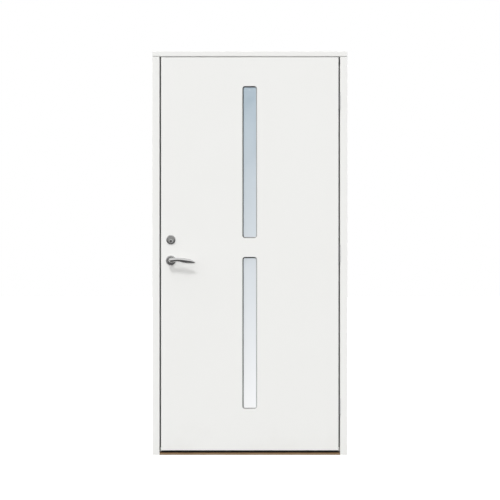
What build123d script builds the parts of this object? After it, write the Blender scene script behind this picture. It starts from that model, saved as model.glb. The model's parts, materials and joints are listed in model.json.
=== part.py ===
from build123d import *
import os
from math import cos, radians, sin, sqrt

# All sizes are in millimetres. X runs right seen from outside, Y into the wall, Z up.
# The origin is the middle of the frame's footprint, on its bottom face.

# Frame
FRAME_WIDTH = 1008
FRAME_HEIGHT = 2088
FRAME_DEPTH = 105
JAMB_FACE = 37.5
HEAD_FACE = 27
STOP_STEP = 15
ARRIS = 1.5
JOINT_KERF = 2
JOINT_DEPTH = 10

# Gaps around the leaf
SIDE_GAP = 7.5
TOP_GAP = 5
BOTTOM_GAP = 11
SEAL_SPACE = 8

# Threshold: a low front that falls outwards, and a raised stop behind the leaf
SILL_FRONT = 12.5
SILL_FALL = 2.5
SILL_STOP = 12
SILL_STOP_DEPTH = 18
SILL_BACK = 20
SILL_ROUND = 1.5

# Rubber seals
SEAL_WIDTH = 13.5
SEAL_SET = 0.5
SEAL_CLEAR = 0.5
SEAL_ROUND = 2.5

# Leaf
LEAF_THICKNESS = 62
LEAF_BEVEL = 2.5
FACING = 6
LOCK_STILE = 110
HINGE_STILE = 70
TOP_RAIL = 100
BOTTOM_RAIL = 120

# Windows, one above the other on the middle of the leaf
WINDOW_WIDTH = 76
WINDOW_RADIUS = 14
WINDOW_ROUND = 1
WINDOW_APART = 97
WINDOW_BELOW = 214.5
WINDOW_ABOVE = 149.5
GLASS_EDGE = 12
GASKET = 2
GASKET_LIP = 6
BEAD_SET = 1.2
BEAD_LAND = 0.8
PANE = 4
SPACER_RIM = 9

# Hinges
HINGE_END = 226
HINGE_HEIGHT = 90
HINGE_PLATE = 2.5
HINGE_PLATE_DEPTH = 30
HINGE_PLATE_SET = 1
HINGE_PLATE_ROUND = 6
KNUCKLE_BITE = 0.3
KNUCKLE_CLEAR = 0.5
KNUCKLE_GAP = 0.5
PIN_R = 1.7
PIN_CLEAR = 0.06
PIN_SHORT = 5

# Holes through the jambs for the frame screws
FIXING_R = 5
FIXING_END = 126

# Lock in the edge of the leaf and its strike in the jamb
BACKSET = 51
LEVER_HEIGHT = 1006
CYLINDER_RISE = 107
FOREND = 3
FOREND_WIDTH = 22
FOREND_END = 65
FOREND_ROUND = 5
LATCH_HEIGHT = 20
LATCH_WIDTH = 12
DEAD_HEIGHT = 34
DEAD_WIDTH = 14
BOLT_DEPTH = 26
BOLT_CLEAR = 0.3
STRIKE = 3
STRIKE_PROUD = 1
STRIKE_DEPTH = 48
STRIKE_END = 27.5
STRIKE_ROUND = 4
STRIKE_ROOM = 2
STRIKE_POCKET = 3

# Lever and its rose
ROSE_R = 26
ROSE = 7.5
ROSE_RIM = 6
ROSE_ROUND = 5
ROSE_CROWN = 0.7
NECK_R = 11
NECK_CLEAR = 0.3
NECK_SEAT = 4
NECK_LEAD = 5
LEVER_STAND = 51
BEND_R = 13
BEND_STEPS = (30, 60)
BEND_TALL = 10.8
BEND_WIDE = 8.8
BEND_RISE = 0.9
SPINDLE = 8
SPINDLE_HOLE_R = 7

# Lock cylinder and its cover
ESCUTCHEON_R = 24.5
ESCUTCHEON = 7
CYLINDER_R = 10
CYLINDER_DROP = 8
CYLINDER_PROUD = 1
CYLINDER_EDGE = 0.8
CYLINDER_BODY = 26
PLUG_R = 6.5
PLUG = 9
PLUG_SET = 0.4
KEYWAY = 3.4
KEYWAY_HEIGHT = 9
KEYWAY_DEPTH = 7

# Grip of the lever seen from outside: distance from its axis, top edge, bottom edge, depth,
# and the lean of its section, in degrees, that turns its front face down
GRIP = (
    (17, 11.9, -8.2, 16.5, 0),
    (31, 12.4, -5.8, 16.0, 2),
    (58, 12.4, -10.8, 17.0, 6),
    (76, 10.2, -14.2, 17.0, 9),
    (92, 6.8, -15.0, 15.5, 11),
    (106, 3.2, -15.0, 13.0, 12),
    (119, -3.2, -14.4, 9.0, 12),
    (127, -8.2, -11.8, 3.6, 8),
)

# Planes and limits that follow from the sizes
FRONT = -FRAME_DEPTH / 2
BACK = FRAME_DEPTH / 2
SIDE = FRAME_WIDTH / 2
REBATE_X = SIDE - JAMB_FACE
STOP_X = REBATE_X - STOP_STEP
LEAF_X = REBATE_X - SIDE_GAP
LEAF_BACK = FRONT + LEAF_THICKNESS
LEAF_MID = FRONT + LEAF_THICKNESS / 2
SHOULDER = LEAF_BACK + SEAL_SPACE
HEAD_UNDER = FRAME_HEIGHT - HEAD_FACE
HEAD_STOP = HEAD_UNDER - STOP_STEP
LEAF_TOP = HEAD_UNDER - TOP_GAP
LEAF_BOTTOM = SILL_FRONT + BOTTOM_GAP
LEAF_MID_Z = (LEAF_BOTTOM + LEAF_TOP) / 2
SILL_TOP = LEAF_BOTTOM + SILL_STOP
SILL_STEP = SILL_FRONT + SILL_FALL
CORE_FRONT = FRONT + FACING
CORE_BACK = LEAF_BACK - FACING
CORE_Y = (CORE_FRONT, CORE_BACK)
STILE_LEFT = -LEAF_X + LOCK_STILE
STILE_RIGHT = LEAF_X - HINGE_STILE
RAIL_LOW = LEAF_BOTTOM + BOTTOM_RAIL
RAIL_HIGH = LEAF_TOP - TOP_RAIL
WINDOW_SPAN = LEAF_TOP - LEAF_BOTTOM - WINDOW_BELOW - WINDOW_ABOVE
WINDOW_HEIGHT = (WINDOW_SPAN - WINDOW_APART) / 2
WINDOW_LOW_Z = LEAF_BOTTOM + WINDOW_BELOW + WINDOW_HEIGHT / 2
WINDOW_Z = (WINDOW_LOW_Z, WINDOW_LOW_Z + WINDOW_HEIGHT + WINDOW_APART)
GLASS_SIZE = (WINDOW_WIDTH + 2 * GLASS_EDGE, WINDOW_HEIGHT + 2 * GLASS_EDGE)
HINGE_X = (LEAF_X + REBATE_X) / 2
KNUCKLE_R = SIDE_GAP / 2 + KNUCKLE_BITE
HINGE_Z = (LEAF_BOTTOM + HINGE_END, LEAF_MID_Z, LEAF_TOP - HINGE_END)
HINGE_HALF = HINGE_HEIGHT / 2
FIXING_Z = (
    LEAF_BOTTOM + FIXING_END, (HINGE_Z[0] + LEAF_MID_Z) / 2,
    (HINGE_Z[2] + LEAF_MID_Z) / 2, LEAF_TOP - FIXING_END,
)
LEVER_X = -LEAF_X + BACKSET
CYLINDER_Z = LEVER_HEIGHT + CYLINDER_RISE
PLUG_Z = CYLINDER_Z - CYLINDER_DROP
LOCK_MID_Z = (LEVER_HEIGHT + CYLINDER_Z) / 2
BOLTS = {
    "latch_bolt": (LEVER_HEIGHT, LATCH_HEIGHT, LATCH_WIDTH),
    "dead_bolt": (PLUG_Z, DEAD_HEIGHT, DEAD_WIDTH),
}
# The lock edge leans by the bevel, so its fittings stand on a leaning plane
EDGE_PLANE = Plane(
    (-LEAF_X + LEAF_BEVEL / 2, LEAF_MID, LOCK_MID_Z),
    x_dir=(0, 0, 1), z_dir=(-LEAF_THICKNESS, LEAF_BEVEL, 0),
)
MIRROR_PLANE = Plane.XZ.offset(-LEAF_MID)

pieces = {}


def outward(y, z=0, x=0):
    """A sketch plane that faces outside, with X to the right and Z up."""
    return Plane((x, y, z), x_dir=(1, 0, 0), z_dir=(0, -1, 0))


def block(x, y, z, mode=Mode.ADD):
    """A box between two limits along each axis."""
    with Locations(((x[0] + x[1]) / 2, (y[0] + y[1]) / 2, (z[0] + z[1]) / 2)):
        Box(x[1] - x[0], y[1] - y[0], z[1] - z[0], mode=mode)


def rod_y(x, z, y, radius, mode=Mode.SUBTRACT):
    """A round bar or bore along Y between two limits."""
    with Locations(Location((x, (y[0] + y[1]) / 2, z), (90, 0, 0))):
        Cylinder(radius, y[1] - y[0], mode=mode)


def rod_z(x, y, z, radius, mode=Mode.ADD):
    """A round bar or bore along Z between two limits."""
    with Locations((x, y, (z[0] + z[1]) / 2)):
        Cylinder(radius, z[1] - z[0], mode=mode)


def inside(piece):
    """The same piece on the inner face of the leaf."""
    with BuildPart() as twin:
        mirror(piece, about=MIRROR_PLANE)
    return twin.part


def opposite(piece):
    """The same piece on the other side of the door."""
    with BuildPart() as twin:
        mirror(piece, about=Plane.YZ)
    return twin.part


# Jambs: a rebate for the leaf in front of a stop
with BuildPart() as jamb_profile:
    with BuildSketch():
        with BuildLine():
            Polyline(
                (-SIDE, FRONT), (-REBATE_X, FRONT), (-REBATE_X, SHOULDER),
                (-STOP_X, SHOULDER), (-STOP_X, BACK), (-SIDE, BACK), close=True,
            )
        make_face()
    extrude(amount=HEAD_UNDER)
    chamfer(jamb_profile.faces().sort_by(Axis.Y)[0].edges().sort_by(Axis.Z)[1:], ARRIS)
    block(
        (-SIDE, -REBATE_X), (FRONT, FRONT + JOINT_DEPTH),
        (HEAD_UNDER - JOINT_KERF, HEAD_UNDER), Mode.SUBTRACT,
    )
    with Locations(*[Location((-REBATE_X, LEAF_MID, z), (0, 90, 0)) for z in FIXING_Z]):
        Hole(FIXING_R)

strike_y = (FRONT + ARRIS, FRONT + ARRIS + STRIKE_DEPTH)
strike_z = (LEVER_HEIGHT - STRIKE_END, CYLINDER_Z + STRIKE_END)
strike_x = (-REBATE_X - STRIKE + STRIKE_PROUD, -REBATE_X + STRIKE_PROUD)

with BuildPart() as strike_plate:
    block(strike_x, strike_y, strike_z)
    fillet(strike_plate.edges().filter_by(Axis.X).group_by(Axis.Y)[-1], STRIKE_ROUND)
    strike_blank = strike_plate.part
    for z, tall, wide in BOLTS.values():
        half = wide / 2 + STRIKE_ROOM
        block(
            strike_x, (LEAF_MID - half, LEAF_MID + half),
            (z - tall / 2 - STRIKE_ROOM, z + tall / 2 + STRIKE_ROOM), Mode.SUBTRACT,
        )
pieces["strike_plate"] = strike_plate.part

with BuildPart() as lock_jamb:
    add(jamb_profile.part)
    add(strike_blank, mode=Mode.SUBTRACT)
    for z, tall, wide in BOLTS.values():
        half = wide / 2 + STRIKE_POCKET
        block(
            (-REBATE_X - BOLT_DEPTH, -REBATE_X), (LEAF_MID - half, LEAF_MID + half),
            (z - tall / 2 - STRIKE_POCKET, z + tall / 2 + STRIKE_POCKET), Mode.SUBTRACT,
        )
pieces["lock_jamb"] = lock_jamb.part

# Hinge plates let into the jamb and into the edge of the leaf
plate_y = (FRONT + HINGE_PLATE_SET, FRONT + HINGE_PLATE_SET + HINGE_PLATE_DEPTH)


def hinge_plates(x):
    """The three plates on one side of the hinge gap."""
    with BuildPart() as plates:
        for z in HINGE_Z:
            block(x, plate_y, (z - HINGE_HALF, z + HINGE_HALF))
        fillet(plates.edges().filter_by(Axis.X).group_by(Axis.Y)[-1], HINGE_PLATE_ROUND)
    return plates.part


with BuildPart() as knuckle_room:
    for z in HINGE_Z:
        room = (z - HINGE_HALF - KNUCKLE_GAP, z + HINGE_HALF + KNUCKLE_GAP)
        rod_z(HINGE_X, FRONT, room, KNUCKLE_R + KNUCKLE_CLEAR)
frame_plates = hinge_plates((REBATE_X, REBATE_X + HINGE_PLATE))
leaf_plates = hinge_plates((LEAF_X - HINGE_PLATE, LEAF_X))

with BuildPart() as hinge_jamb:
    add(opposite(jamb_profile.part))
    add(frame_plates, mode=Mode.SUBTRACT)
    add(knuckle_room.part, mode=Mode.SUBTRACT)
pieces["hinge_jamb"] = hinge_jamb.part

# Each hinge lifts off: the lower knuckle and its pin are on the frame, the upper on the leaf
with BuildPart() as hinge_frame_plates:
    add(frame_plates)
    for z in HINGE_Z:
        upper = (z, z + HINGE_HALF + KNUCKLE_GAP)
        rod_z(HINGE_X, FRONT, upper, KNUCKLE_R + KNUCKLE_CLEAR, Mode.SUBTRACT)
        rod_z(HINGE_X, FRONT, (z - HINGE_HALF, z), KNUCKLE_R)
        rod_z(HINGE_X, FRONT, (z, z + HINGE_HALF - PIN_SHORT), PIN_R)
pieces["hinge_frame_plates"] = hinge_frame_plates.part

with BuildPart() as hinge_leaf_plates:
    add(leaf_plates)
    for z in HINGE_Z:
        lower = (z - HINGE_HALF - KNUCKLE_GAP, z + KNUCKLE_GAP)
        rod_z(HINGE_X, FRONT, lower, KNUCKLE_R + KNUCKLE_CLEAR, Mode.SUBTRACT)
        rod_z(HINGE_X, FRONT, (z + KNUCKLE_GAP, z + HINGE_HALF), KNUCKLE_R)
        bore = (z, z + HINGE_HALF - PIN_SHORT + KNUCKLE_GAP)
        rod_z(HINGE_X, FRONT, bore, PIN_R + PIN_CLEAR, Mode.SUBTRACT)
pieces["hinge_leaf_plates"] = hinge_leaf_plates.part

# Head over the jambs, with a stop between them
with BuildPart() as head:
    block((-SIDE, SIDE), (FRONT, BACK), (HEAD_UNDER, FRAME_HEIGHT))
    chamfer(head.edges().filter_by(Axis.X).group_by(Axis.Y)[0], ARRIS)
    block((-STOP_X, STOP_X), (SHOULDER, BACK), (HEAD_STOP, HEAD_UNDER))
pieces["head"] = head.part

# Threshold between the jambs, notched round their stops
with BuildPart() as threshold:
    with BuildSketch(Plane.YZ):
        with BuildLine():
            Polyline(
                (FRONT, 0), (BACK, 0), (BACK, SILL_BACK), (SHOULDER + SILL_STOP_DEPTH, SILL_TOP),
                (SHOULDER, SILL_TOP), (SHOULDER, SILL_STEP), (FRONT, SILL_FRONT), close=True,
            )
        make_face()
    extrude(amount=REBATE_X, both=True)
    fillet(threshold.edges().filter_by(Axis.X).group_by(Axis.Y)[0].sort_by(Axis.Z)[-1], SILL_ROUND)
    for x in ((-REBATE_X, -STOP_X), (STOP_X, REBATE_X)):
        block(x, (SHOULDER, BACK), (0, SILL_TOP), Mode.SUBTRACT)
pieces["threshold"] = threshold.part

# Seals on the face of the rebate
seal_y = (LEAF_BACK + SEAL_CLEAR, SHOULDER)
seal_x = (STOP_X + SEAL_SET, STOP_X + SEAL_SET + SEAL_WIDTH)
with BuildPart() as hinge_jamb_seal:
    block(seal_x, seal_y, (SILL_TOP, HEAD_STOP))
    fillet(hinge_jamb_seal.edges().filter_by(Axis.Z).group_by(Axis.Y)[0], SEAL_ROUND)
pieces["hinge_jamb_seal"] = hinge_jamb_seal.part
pieces["lock_jamb_seal"] = opposite(hinge_jamb_seal.part)
cross_seals = {
    "head_seal": (seal_x[1], HEAD_STOP + SEAL_SET),
    "threshold_seal": (STOP_X, SILL_TOP - SEAL_SET - SEAL_WIDTH),
}
for name, (reach, low) in cross_seals.items():
    with BuildPart() as cross_seal:
        block((-reach, reach), seal_y, (low, low + SEAL_WIDTH))
        fillet(cross_seal.edges().filter_by(Axis.X).group_by(Axis.Y)[0], SEAL_ROUND)
    pieces[name] = cross_seal.part


def leaf_layer(y, right):
    """A layer of the leaf, cut back along its lock edge by the bevel."""
    left = [-LEAF_X + LEAF_BEVEL * (depth - FRONT) / LEAF_THICKNESS for depth in y]
    with BuildPart() as layer:
        with BuildSketch(Plane.XY.offset(LEAF_BOTTOM)):
            with BuildLine():
                Polyline((left[0], y[0]), (right, y[0]), (right, y[1]), (left[1], y[1]), close=True)
            make_face()
        extrude(amount=LEAF_TOP - LEAF_BOTTOM)
    return layer.part


def window_cut(y, width, height):
    """What both windows take out of a layer of the leaf."""
    with BuildPart() as cut:
        with BuildSketch(outward(y[1])):
            with Locations(*[(0, middle) for middle in WINDOW_Z]):
                RectangleRounded(width, height, WINDOW_RADIUS)
        extrude(amount=y[1] - y[0])
    return cut.part


# Facings: painted boards with rounded window cut-outs
with BuildPart() as outer_facing:
    outer_y = (FRONT, CORE_FRONT)
    add(leaf_layer(outer_y, LEAF_X))
    chamfer(outer_facing.faces().sort_by(Axis.Y)[0].edges(), ARRIS)
    add(window_cut(outer_y, WINDOW_WIDTH, WINDOW_HEIGHT), mode=Mode.SUBTRACT)
    fillet(outer_facing.faces().sort_by(Axis.Y)[0].inner_wires().edges(), WINDOW_ROUND)
    rod_y(LEVER_X, LEVER_HEIGHT, outer_y, SPINDLE_HOLE_R)
    rod_y(LEVER_X, PLUG_Z, outer_y, CYLINDER_R)
    add(leaf_plates, mode=Mode.SUBTRACT)
    add(knuckle_room.part, mode=Mode.SUBTRACT)
pieces["outer_facing"] = outer_facing.part

with BuildPart() as inner_facing:
    inner_y = (CORE_BACK, LEAF_BACK)
    add(leaf_layer(inner_y, LEAF_X))
    chamfer(inner_facing.faces().sort_by(Axis.Y)[-1].edges(), ARRIS)
    add(window_cut(inner_y, WINDOW_WIDTH, WINDOW_HEIGHT), mode=Mode.SUBTRACT)
    fillet(inner_facing.faces().sort_by(Axis.Y)[-1].inner_wires().edges(), WINDOW_ROUND)
    rod_y(LEVER_X, LEVER_HEIGHT, inner_y, SPINDLE_HOLE_R)
    rod_y(LEVER_X, PLUG_Z, inner_y, CYLINDER_R)
pieces["inner_facing"] = inner_facing.part


def bolt_body(z, tall, wide, margin=0.0):
    """A lock bolt drawn back flush with the lock edge, or the way cut for it."""
    with BuildPart() as bolt:
        with BuildSketch(EDGE_PLANE):
            with Locations((z - LOCK_MID_Z, 0)):
                Rectangle(tall + 2 * margin, wide + 2 * margin)
        extrude(amount=-BOLT_DEPTH)
    return bolt.part


# Lock front and bolts in the lock edge
with BuildPart() as forend_blank:
    with BuildSketch(EDGE_PLANE):
        RectangleRounded(CYLINDER_RISE + 2 * FOREND_END, FOREND_WIDTH, FOREND_ROUND)
    extrude(amount=-FOREND)

with BuildPart() as lock_forend:
    add(forend_blank.part)
    for size in BOLTS.values():
        add(bolt_body(*size, BOLT_CLEAR), mode=Mode.SUBTRACT)
pieces["lock_forend"] = lock_forend.part

for name, size in BOLTS.items():
    pieces[name] = bolt_body(*size)

# Timbers round the edge of the leaf, and the filling between them
with BuildPart() as lock_stile:
    add(leaf_layer(CORE_Y, STILE_LEFT))
    add(forend_blank.part, mode=Mode.SUBTRACT)
    for size in BOLTS.values():
        add(bolt_body(*size, BOLT_CLEAR), mode=Mode.SUBTRACT)
    rod_y(LEVER_X, LEVER_HEIGHT, CORE_Y, SPINDLE_HOLE_R)
    rod_y(LEVER_X, PLUG_Z, CORE_Y, CYLINDER_R)
pieces["lock_stile"] = lock_stile.part

with BuildPart() as hinge_stile:
    block((STILE_RIGHT, LEAF_X), CORE_Y, (LEAF_BOTTOM, LEAF_TOP))
    add(leaf_plates, mode=Mode.SUBTRACT)
pieces["hinge_stile"] = hinge_stile.part

with BuildPart() as top_rail:
    block((STILE_LEFT, STILE_RIGHT), CORE_Y, (RAIL_HIGH, LEAF_TOP))
pieces["top_rail"] = top_rail.part

with BuildPart() as bottom_rail:
    block((STILE_LEFT, STILE_RIGHT), CORE_Y, (LEAF_BOTTOM, RAIL_LOW))
pieces["bottom_rail"] = bottom_rail.part

with BuildPart() as insulation_core:
    block((STILE_LEFT, STILE_RIGHT), CORE_Y, (RAIL_LOW, RAIL_HIGH))
    add(window_cut(CORE_Y, *GLASS_SIZE), mode=Mode.SUBTRACT)
pieces["insulation_core"] = insulation_core.part


def glazing_ring(z, y, inner, inner_radius):
    """A flat frame with the outline of the glass."""
    with BuildPart() as frame:
        with BuildSketch(outward(y[1], z)):
            RectangleRounded(*GLASS_SIZE, WINDOW_RADIUS)
            RectangleRounded(*inner, inner_radius, mode=Mode.SUBTRACT)
        extrude(amount=y[1] - y[0])
    return frame.part


# Sealed glass units: two panes on a spacer, bedded on rubber behind both facings.
# The rubber fills the edge of the window with a bead that slopes down to the glass.
gasket_y = (CORE_FRONT, CORE_FRONT + GASKET)
pane_y = (gasket_y[1], gasket_y[1] + PANE)
spacer_y = (pane_y[1], 2 * LEAF_MID - pane_y[1])
gasket_hole = (WINDOW_WIDTH - 2 * GASKET_LIP, WINDOW_HEIGHT - 2 * GASKET_LIP)
bead_mouth = (WINDOW_WIDTH - 2 * BEAD_LAND, WINDOW_HEIGHT - 2 * BEAD_LAND)
spacer_hole = [size - 2 * SPACER_RIM for size in GLASS_SIZE]
for place, z in zip(("lower", "upper"), WINDOW_Z):
    with BuildPart() as gasket:
        add(glazing_ring(z, gasket_y, gasket_hole, WINDOW_RADIUS - GASKET_LIP))
        with BuildSketch(outward(CORE_FRONT, z)):
            RectangleRounded(WINDOW_WIDTH, WINDOW_HEIGHT, WINDOW_RADIUS)
        extrude(amount=FACING - BEAD_SET)
        with BuildSketch(outward(gasket_y[1], z)):
            RectangleRounded(*gasket_hole, WINDOW_RADIUS - GASKET_LIP)
        with BuildSketch(outward(FRONT + BEAD_SET, z)):
            RectangleRounded(*bead_mouth, WINDOW_RADIUS - BEAD_LAND)
        loft(mode=Mode.SUBTRACT)
    pieces[place + "_outer_gasket"] = gasket.part
    pieces[place + "_inner_gasket"] = inside(gasket.part)
    with BuildPart() as pane:
        with BuildSketch(outward(pane_y[1], z)):
            RectangleRounded(*GLASS_SIZE, WINDOW_RADIUS)
        extrude(amount=PANE)
    pieces[place + "_outer_pane"] = pane.part
    pieces[place + "_inner_pane"] = inside(pane.part)
    spacer = glazing_ring(z, spacer_y, spacer_hole, WINDOW_RADIUS - SPACER_RIM)
    pieces[place + "_spacer"] = spacer


def cover(z, radius, thick, hole_r, hole_drop):
    """A round cover with a rounded rim and a slightly crowned face."""
    rim = radius - ROSE_RIM
    with BuildPart() as disc:
        with BuildSketch(Plane((LEVER_X, FRONT, z), x_dir=(1, 0, 0), z_dir=(0, 0, 1))):
            with BuildLine():
                side = Polyline((0, 0), (radius, 0), (radius, ROSE_ROUND - thick))
                turn = RadiusArc(side @ 1, (radius - ROSE_ROUND, -thick), ROSE_ROUND)
                Polyline(turn @ 1, (rim, -thick), (0, -thick - ROSE_CROWN), (0, 0))
            make_face()
        revolve(axis=Axis((LEVER_X, FRONT, z), (0, 1, 0)))
        rod_y(LEVER_X, z - hole_drop, (FRONT - thick - ROSE_CROWN, FRONT), hole_r)
    return disc.part


# Roses, lock covers and cylinders on both faces
pieces["outer_rosette"] = cover(LEVER_HEIGHT, ROSE_R, ROSE, NECK_R + NECK_CLEAR, 0)
pieces["inner_rosette"] = inside(pieces["outer_rosette"])
pieces["outer_escutcheon"] = cover(CYLINDER_Z, ESCUTCHEON_R, ESCUTCHEON, CYLINDER_R, CYLINDER_DROP)
pieces["inner_escutcheon"] = inside(pieces["outer_escutcheon"])

cylinder_face = FRONT - ESCUTCHEON - ROSE_CROWN - CYLINDER_PROUD
with BuildPart() as cylinder:
    rod_y(LEVER_X, PLUG_Z, (cylinder_face, cylinder_face + CYLINDER_BODY), CYLINDER_R, Mode.ADD)
    chamfer(cylinder.faces().sort_by(Axis.Y)[0].edges(), CYLINDER_EDGE)
    rod_y(LEVER_X, PLUG_Z, (cylinder_face, cylinder_face + PLUG), PLUG_R)
pieces["outer_cylinder"] = cylinder.part
pieces["inner_cylinder"] = inside(cylinder.part)

plug_face = cylinder_face + PLUG_SET
with BuildPart() as key_plug:
    rod_y(LEVER_X, PLUG_Z, (plug_face, cylinder_face + PLUG), PLUG_R, Mode.ADD)
    block(
        (LEVER_X - KEYWAY / 2, LEVER_X + KEYWAY / 2), (plug_face, plug_face + KEYWAY_DEPTH),
        (PLUG_Z - KEYWAY_HEIGHT / 2, PLUG_Z + KEYWAY_HEIGHT / 2), Mode.SUBTRACT,
    )
pieces["outer_key_plug"] = key_plug.part
pieces["inner_key_plug"] = inside(key_plug.part)

# Lever: a smooth body through sections that turn from the neck into the grip.
# Each section has its place, the turn and lean of its plane, half its height and width, and its rise.
neck_start = FRONT - ROSE + NECK_SEAT
grip_y = FRONT - LEVER_STAND
bend_y = grip_y + BEND_R
neck_end = bend_y + NECK_LEAD
sections = [((0, y), 0, 0, NECK_R, NECK_R, 0) for y in (neck_end, bend_y)]
for turn in BEND_STEPS:
    share = turn / BEND_STEPS[-1]
    along = BEND_R * (1 - cos(radians(turn)))
    out = bend_y - BEND_R * sin(radians(turn))
    tall = NECK_R + (BEND_TALL - NECK_R) * share
    wide = NECK_R + (BEND_WIDE - NECK_R) * share
    sections.append(((along, out), turn, 0, tall, wide, BEND_RISE * share))
for along, top, bottom, depth, lean in GRIP:
    half = (top - bottom) / 2
    tall = sqrt(half**2 - (depth / 2 * sin(radians(lean))) ** 2) / cos(radians(lean))
    sections.append(((along, grip_y), 90, lean, tall, depth / 2, (top + bottom) / 2))

with BuildPart() as outer_lever:
    for (along, y), turn, lean, tall, wide, rise in sections:
        place = (LEVER_X + along, y, LEVER_HEIGHT + rise)
        heading = Vector(sin(radians(turn)), -cos(radians(turn)), 0)
        upward = Vector(0, 0, 1).rotate(Axis((0, 0, 0), heading), lean)
        with BuildSketch(Plane(place, x_dir=upward, z_dir=heading)):
            Ellipse(tall, wide)
    loft()
    rod_y(LEVER_X, LEVER_HEIGHT, (neck_end, neck_start), NECK_R, Mode.ADD)
pieces["outer_lever"] = outer_lever.part
pieces["inner_lever"] = inside(outer_lever.part)

with BuildPart() as spindle:
    block(
        (LEVER_X - SPINDLE / 2, LEVER_X + SPINDLE / 2), (neck_start, 2 * LEAF_MID - neck_start),
        (LEVER_HEIGHT - SPINDLE / 2, LEVER_HEIGHT + SPINDLE / 2),
    )
pieces["spindle"] = spindle.part

os.makedirs("parts", exist_ok=True)
for name, piece in pieces.items():
    piece.label = name
    export_step(piece, f"parts/{name}.step")
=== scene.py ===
import json

import bmesh
import bpy
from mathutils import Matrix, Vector


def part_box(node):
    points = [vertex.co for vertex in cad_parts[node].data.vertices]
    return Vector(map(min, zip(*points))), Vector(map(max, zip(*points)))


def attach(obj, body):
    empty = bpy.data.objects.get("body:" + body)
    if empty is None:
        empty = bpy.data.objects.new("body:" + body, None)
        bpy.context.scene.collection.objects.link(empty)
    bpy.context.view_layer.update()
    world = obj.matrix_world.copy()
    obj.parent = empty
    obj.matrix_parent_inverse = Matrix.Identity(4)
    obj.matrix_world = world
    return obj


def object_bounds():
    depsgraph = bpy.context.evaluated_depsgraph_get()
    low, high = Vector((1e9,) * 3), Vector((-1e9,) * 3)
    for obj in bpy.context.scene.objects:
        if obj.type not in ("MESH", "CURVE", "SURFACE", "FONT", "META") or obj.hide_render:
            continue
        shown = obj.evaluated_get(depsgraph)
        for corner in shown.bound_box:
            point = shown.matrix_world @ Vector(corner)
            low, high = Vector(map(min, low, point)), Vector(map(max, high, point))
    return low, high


bl_info = {
    "name": "Exterior Door Finish",
    "version": (1, 0, 0),
    "blender": (4, 5, 0),
    "location": "View3D > Sidebar > Door",
    "description": "Finishes, screws and weather strip for a packed exterior door",
    "category": "Object",
}

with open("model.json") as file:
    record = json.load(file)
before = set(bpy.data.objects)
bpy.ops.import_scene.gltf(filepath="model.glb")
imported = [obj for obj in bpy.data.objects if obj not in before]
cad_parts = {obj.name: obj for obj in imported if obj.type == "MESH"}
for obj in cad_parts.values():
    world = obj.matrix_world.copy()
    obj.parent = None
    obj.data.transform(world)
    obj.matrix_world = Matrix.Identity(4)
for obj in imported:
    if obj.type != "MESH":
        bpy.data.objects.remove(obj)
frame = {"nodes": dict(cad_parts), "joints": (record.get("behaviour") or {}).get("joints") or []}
CAD_BOX = [list(corner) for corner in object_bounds()]

# Nodes that share a finish
UPRIGHT_TIMBERS = ("lock_jamb", "hinge_jamb", "lock_stile", "hinge_stile")
LEVEL_TIMBERS = ("head", "top_rail", "bottom_rail")
FACINGS = ("outer_facing", "inner_facing")
UPRIGHT_SEALS = ("lock_jamb_seal", "hinge_jamb_seal")
LEVEL_SEALS = ("head_seal", "threshold_seal")
LOCK_METAL = ("strike_plate", "lock_forend", "latch_bolt", "dead_bolt", "spindle")
HINGES = ("hinge_frame_plates", "hinge_leaf_plates")
WINDOWS = ("upper", "lower")
FACES = ("outer", "inner")

# Lengths of the solids, in metres
HINGE_HALF = 0.045  # half the height of a hinge
STOP_STEP = 0.015  # from the face of a jamb's stop to the face of its rebate
GLASS_HELD = 0.012  # how far the glazing reaches behind the facing, past the window's edge
LEAF_THICK = 0.062
LOCK_EDGE_LEAN = 0.0025  # how far the lock edge leans over the thickness of the leaf

# Places and sizes of the small pieces, in metres
STRIP_BACK = 0.003  # from the front of the head to the weather strip
SWEEP_FORWARD = 0.053  # from the inner facing to the front of the sweep
SWEEP_DEPTH = 0.012
SWEEP_INSET = 0.001  # at each end of the sweep
LIP_INSET = 0.002  # at each end of the strike's lip
COVER_RIM = 0.006  # width of the lock cover's polished rim
SCREW_RADIUS = 0.0034
SCREW_RISE = 0.0006
STRIKE_SCREW_END = 0.008  # from the end of the strike to its screw
LOCK_SCREW_END = 0.014  # from the end of the lock front to its screw
# Screws of one hinge plate: forward from its back edge, and up from its middle
HINGE_SCREWS = ((0.008, 0.034), (0.016, 0.012), (0.016, -0.012), (0.008, -0.034))

# Where dirt, wear, painted shade and painted light begin and where they are full, in metres
SPLASH_Z = (0.22, 0.02)
OAK_SHADE_Z = (0.009, 0.012)
OAK_WORN_Z = (0.011, 0.001)
PAINTED_LIGHT_INSET = (0.016, 0.005)  # inwards from the right edge of the windows

# Tints of dirt and wear, of painted shade and painted light, and of pieces that hardly show
# Pale dust on rubber; where the rubber faces up it is also painted light
DUST_AND_PAINTED_LIGHT = (0.45, 0.44, 0.42)
PAINTED_SHADE_BELOW = (0.02, 0.02, 0.021)
PAINTED_LIGHT_RIGHT = (0.62, 0.63, 0.63)
WORN_OAK = (0.335, 0.265, 0.205)
WORN_HINGE = (0.30, 0.30, 0.29)
GLASS_HAZE = (0.93, 0.94, 0.95)
SPACER_METAL = (0.45, 0.46, 0.47)
STRIP_RUBBER = (0.70, 0.70, 0.69)
FOAM_DARK = (0.78, 0.72, 0.55)
FOAM_LIGHT = (0.86, 0.82, 0.68)

# How fine a pattern is on each axis: lines and grain run along the axis with the small number
UPRIGHT_LINES = (900, 900, 12)
LEVEL_LINES = (12, 900, 900)
LOCK_LINES = (900, 900, 30)
HINGE_SPECKS = (500, 500, 500)
UPRIGHT_GRAIN = (420, 420, 9)
LEVEL_GRAIN = (9, 420, 420)
BOARD_GRAIN = (60, 60, 60)

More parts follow.
